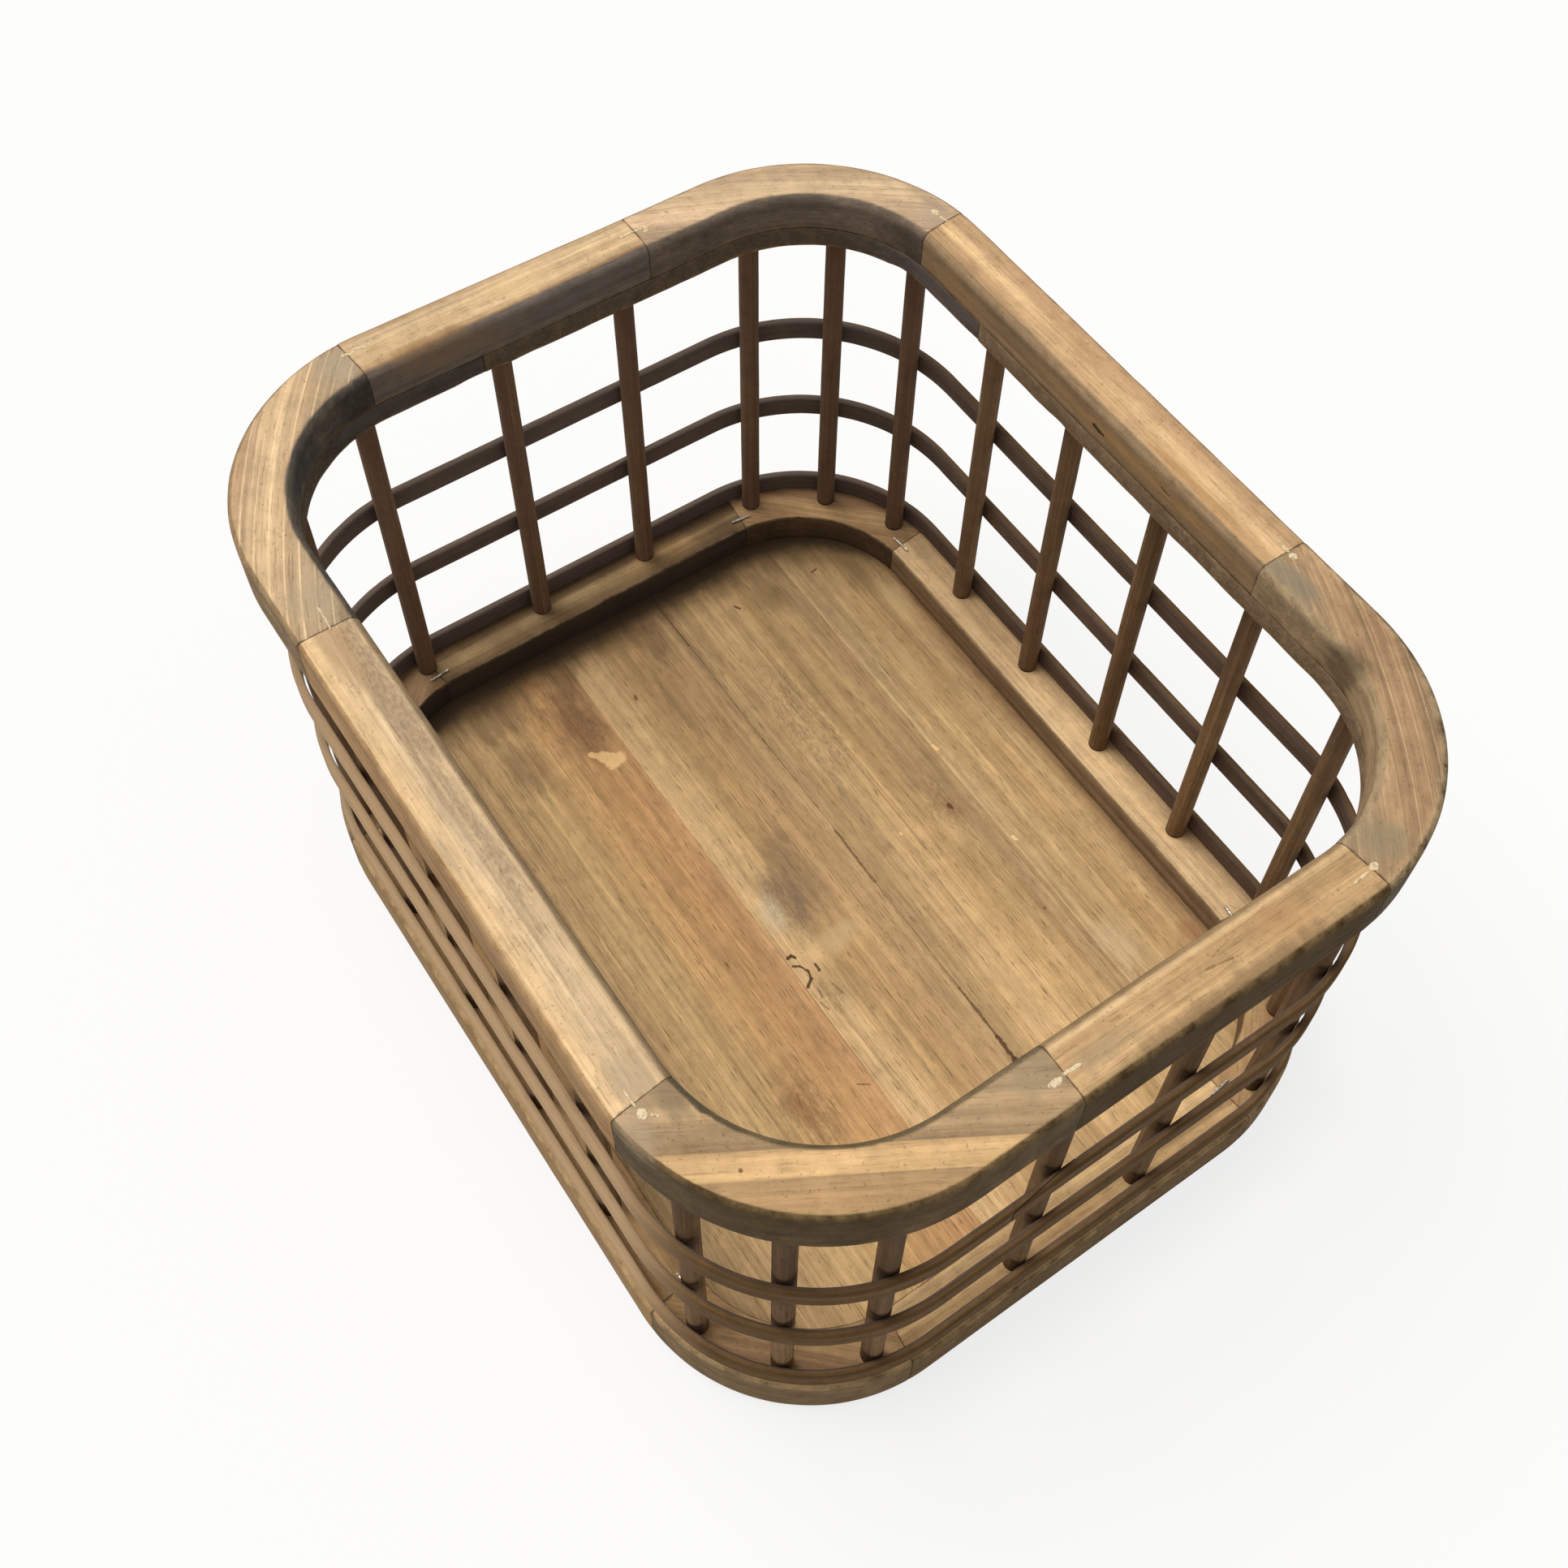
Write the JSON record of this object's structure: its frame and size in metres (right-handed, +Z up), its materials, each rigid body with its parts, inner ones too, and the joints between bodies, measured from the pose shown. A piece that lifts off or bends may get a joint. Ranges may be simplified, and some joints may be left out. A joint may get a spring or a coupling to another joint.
{
  "type": "storage basket",
  "caption": "Open storage basket of jointed timber: rounded rectangular rim and base, round dowels between them, bent wooden hoops round the sides and a plank floor.",
  "frame": {"origin": "on the ground under the middle of the basket, the bottom centre of its box", "axes": "+X along the length, +Y along the width, from front to back, +Z up"},
  "size_m": [0.508, 0.409, 0.304],
  "materials": {
    "rim_wood": "worn, unvarnished",
    "base_wood": "worn, unvarnished",
    "dowel_wood": "dark with age, dull",
    "hoop_wood": "dark with age, dull",
    "liner_wood": "dark with age, dull",
    "floor_wood": "worn, unvarnished",
    "staple_steel": "dull wire"
  },
  "bodies": {
    "root": {"rim_rail_front": "rim_wood", "rim_rail_right": "rim_wood", "rim_rail_back": "rim_wood", "rim_rail_left": "rim_wood", "rim_corner_front_right": "rim_wood", "rim_corner_back_right": "rim_wood", "rim_corner_back_left": "rim_wood", "rim_corner_front_left": "rim_wood", "base_rail_front": "base_wood", "base_rail_right": "base_wood", "base_rail_back": "base_wood", "base_rail_left": "base_wood", "base_corner_front_right": "base_wood", "base_corner_back_right": "base_wood", "base_corner_back_left": "base_wood", "base_corner_front_left": "base_wood", "dowel_front_1": "dowel_wood", "dowel_front_2": "dowel_wood", "dowel_front_3": "dowel_wood", "dowel_front_4": "dowel_wood", "dowel_right_1": "dowel_wood", "dowel_right_2": "dowel_wood", "dowel_back_1": "dowel_wood", "dowel_back_2": "dowel_wood", "dowel_back_3": "dowel_wood", "dowel_back_4": "dowel_wood", "dowel_left_1": "dowel_wood", "dowel_left_2": "dowel_wood", "dowel_front_right_1": "dowel_wood", "dowel_front_right_2": "dowel_wood", "dowel_front_right_3": "dowel_wood", "dowel_back_right_1": "dowel_wood", "dowel_back_right_2": "dowel_wood", "dowel_back_right_3": "dowel_wood", "dowel_back_left_1": "dowel_wood", "dowel_back_left_2": "dowel_wood", "dowel_back_left_3": "dowel_wood", "dowel_front_left_1": "dowel_wood", "dowel_front_left_2": "dowel_wood", "dowel_front_left_3": "dowel_wood", "hoop_lower": "hoop_wood", "hoop_middle": "hoop_wood", "hoop_upper": "hoop_wood", "liner_front_right": "liner_wood", "liner_back_right": "liner_wood", "liner_back_left": "liner_wood", "liner_front_left": "liner_wood", "floor_plank_1": "floor_wood", "floor_plank_2": "floor_wood", "floor_plank_3": "floor_wood", "floor_plank_4": "floor_wood", "floor_plank_5": "floor_wood", "staple_front_right_1": "staple_steel", "staple_front_right_2": "staple_steel", "staple_back_right_1": "staple_steel", "staple_back_right_2": "staple_steel", "staple_back_left_1": "staple_steel", "staple_back_left_2": "staple_steel", "staple_front_left_1": "staple_steel", "staple_front_left_2": "staple_steel"}
  },
  "joints": []
}
